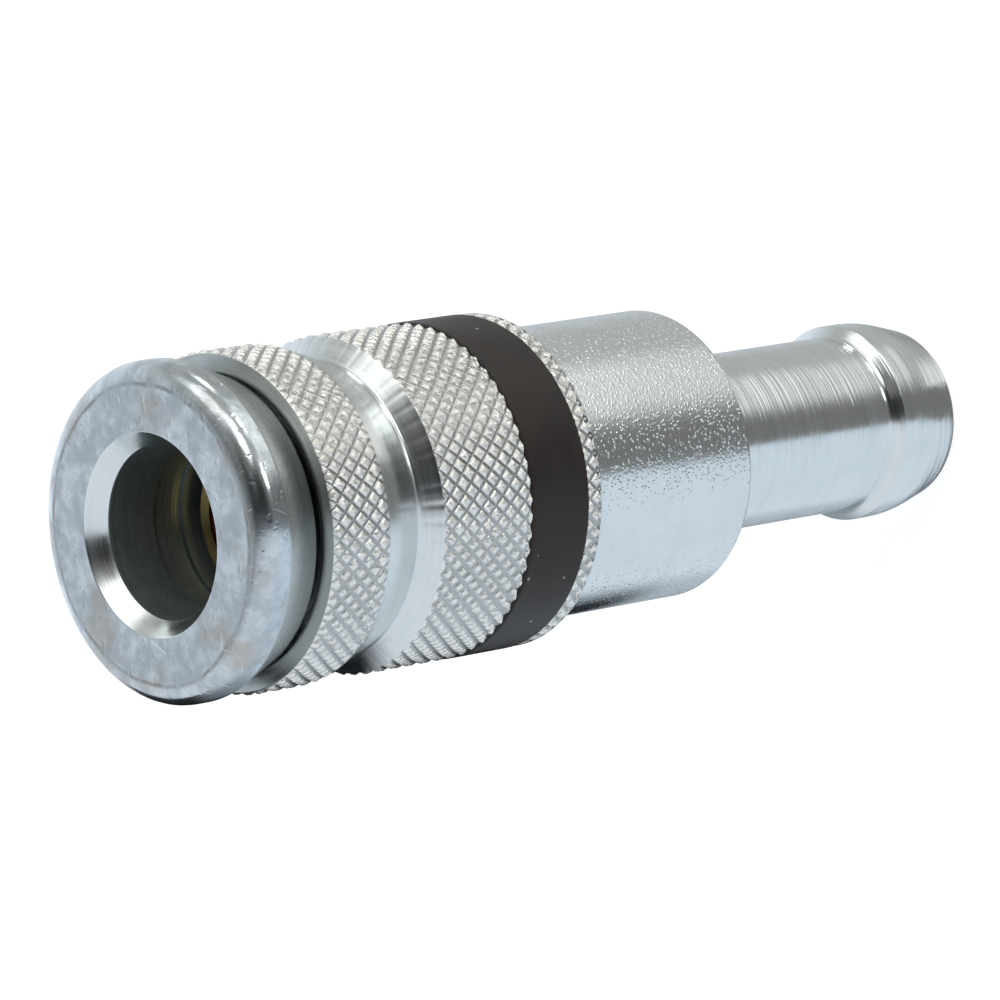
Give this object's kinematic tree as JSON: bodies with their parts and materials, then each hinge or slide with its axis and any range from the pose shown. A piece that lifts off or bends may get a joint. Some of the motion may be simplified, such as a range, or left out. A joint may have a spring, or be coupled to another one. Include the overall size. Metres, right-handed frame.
{
  "type": "air hose coupling",
  "caption": "Quick coupling socket for compressed air: ball lock with a knurled pull-back sleeve, a self-closing valve and a barbed hose tail.",
  "frame": {"origin": "centre of the hose tail's end face, on which the coupling stands", "axes": "+Z along the coupling's axis, from the hose tail to the nose; +X through the first locking ball"},
  "size_m": [0.024, 0.024, 0.0732],
  "materials": {
    "zinc_steel": "bright zinc plate over turned steel",
    "spring_steel": "plain spring steel",
    "ball_steel": "polished",
    "brass": "turned",
    "band_rubber": "dull dark rubber",
    "seal_rubber": "smooth black rubber"
  },
  "bodies": {
    "body": {"socket_body": "zinc_steel", "hose_adapter": "zinc_steel", "body_gasket": "seal_rubber", "plug_seal": "seal_rubber", "stop_ring": "spring_steel", "valve_guide": "brass", "sleeve_spring": "spring_steel", "valve_spring": "spring_steel"},
    "washer": {"spring_washer": "spring_steel"},
    "sleeve": {"release_sleeve": "zinc_steel", "grip_band": "band_rubber"},
    "valve": {"valve_poppet": "brass", "valve_seal": "seal_rubber"},
    "ball_1": {"ball_1": "ball_steel"},
    "ball_2": {"ball_2": "ball_steel"},
    "ball_3": {"ball_3": "ball_steel"},
    "ball_4": {"ball_4": "ball_steel"},
    "ball_5": {"ball_5": "ball_steel"},
    "ball_6": {"ball_6": "ball_steel"},
    "ball_7": {"ball_7": "ball_steel"},
    "ball_8": {"ball_8": "ball_steel"}
  },
  "joints": [
    {"name": "sleeve_slide", "type": "slide", "parent": "body", "child": "washer", "axis": [0, 0, -1], "range_m": [0, 0.0045], "stiffness_N_per_m": 3000, "springref_m": -0.005, "deforming": ["sleeve_spring"]},
    {"name": "sleeve_spin", "type": "hinge", "parent": "washer", "child": "sleeve", "pos_m": [0, 0, 0.05], "axis": [0, 0, 1], "continuous": true},
    {"name": "valve_slide", "type": "slide", "parent": "body", "child": "valve", "axis": [0, 0, -1], "range_m": [0, 0.0095], "stiffness_N_per_m": 800, "springref_m": -0.006, "deforming": ["valve_spring"]},
    {"name": "ball_1_slide", "type": "slide", "parent": "body", "child": "ball_1", "axis": [1, 0, 0], "range_m": [0, 0.00065]},
    {"name": "ball_2_slide", "type": "slide", "parent": "body", "child": "ball_2", "axis": [0.7071, 0.7071, 0], "range_m": [0, 0.00065]},
    {"name": "ball_3_slide", "type": "slide", "parent": "body", "child": "ball_3", "axis": [0, 1, 0], "range_m": [0, 0.00065]},
    {"name": "ball_4_slide", "type": "slide", "parent": "body", "child": "ball_4", "axis": [-0.7071, 0.7071, 0], "range_m": [0, 0.00065]},
    {"name": "ball_5_slide", "type": "slide", "parent": "body", "child": "ball_5", "axis": [-1, 0, 0], "range_m": [0, 0.00065]},
    {"name": "ball_6_slide", "type": "slide", "parent": "body", "child": "ball_6", "axis": [-0.7071, -0.7071, 0], "range_m": [0, 0.00065]},
    {"name": "ball_7_slide", "type": "slide", "parent": "body", "child": "ball_7", "axis": [0, -1, 0], "range_m": [0, 0.00065]},
    {"name": "ball_8_slide", "type": "slide", "parent": "body", "child": "ball_8", "axis": [0.7071, -0.7071, 0], "range_m": [0, 0.00065]}
  ],
  "couplings": [
    {"joint": "ball_1_slide", "follows": "sleeve_slide", "ratio": 0.1444},
    {"joint": "ball_2_slide", "follows": "sleeve_slide", "ratio": 0.1444},
    {"joint": "ball_3_slide", "follows": "sleeve_slide", "ratio": 0.1444},
    {"joint": "ball_4_slide", "follows": "sleeve_slide", "ratio": 0.1444},
    {"joint": "ball_5_slide", "follows": "sleeve_slide", "ratio": 0.1444},
    {"joint": "ball_6_slide", "follows": "sleeve_slide", "ratio": 0.1444},
    {"joint": "ball_7_slide", "follows": "sleeve_slide", "ratio": 0.1444},
    {"joint": "ball_8_slide", "follows": "sleeve_slide", "ratio": 0.1444}
  ]
}
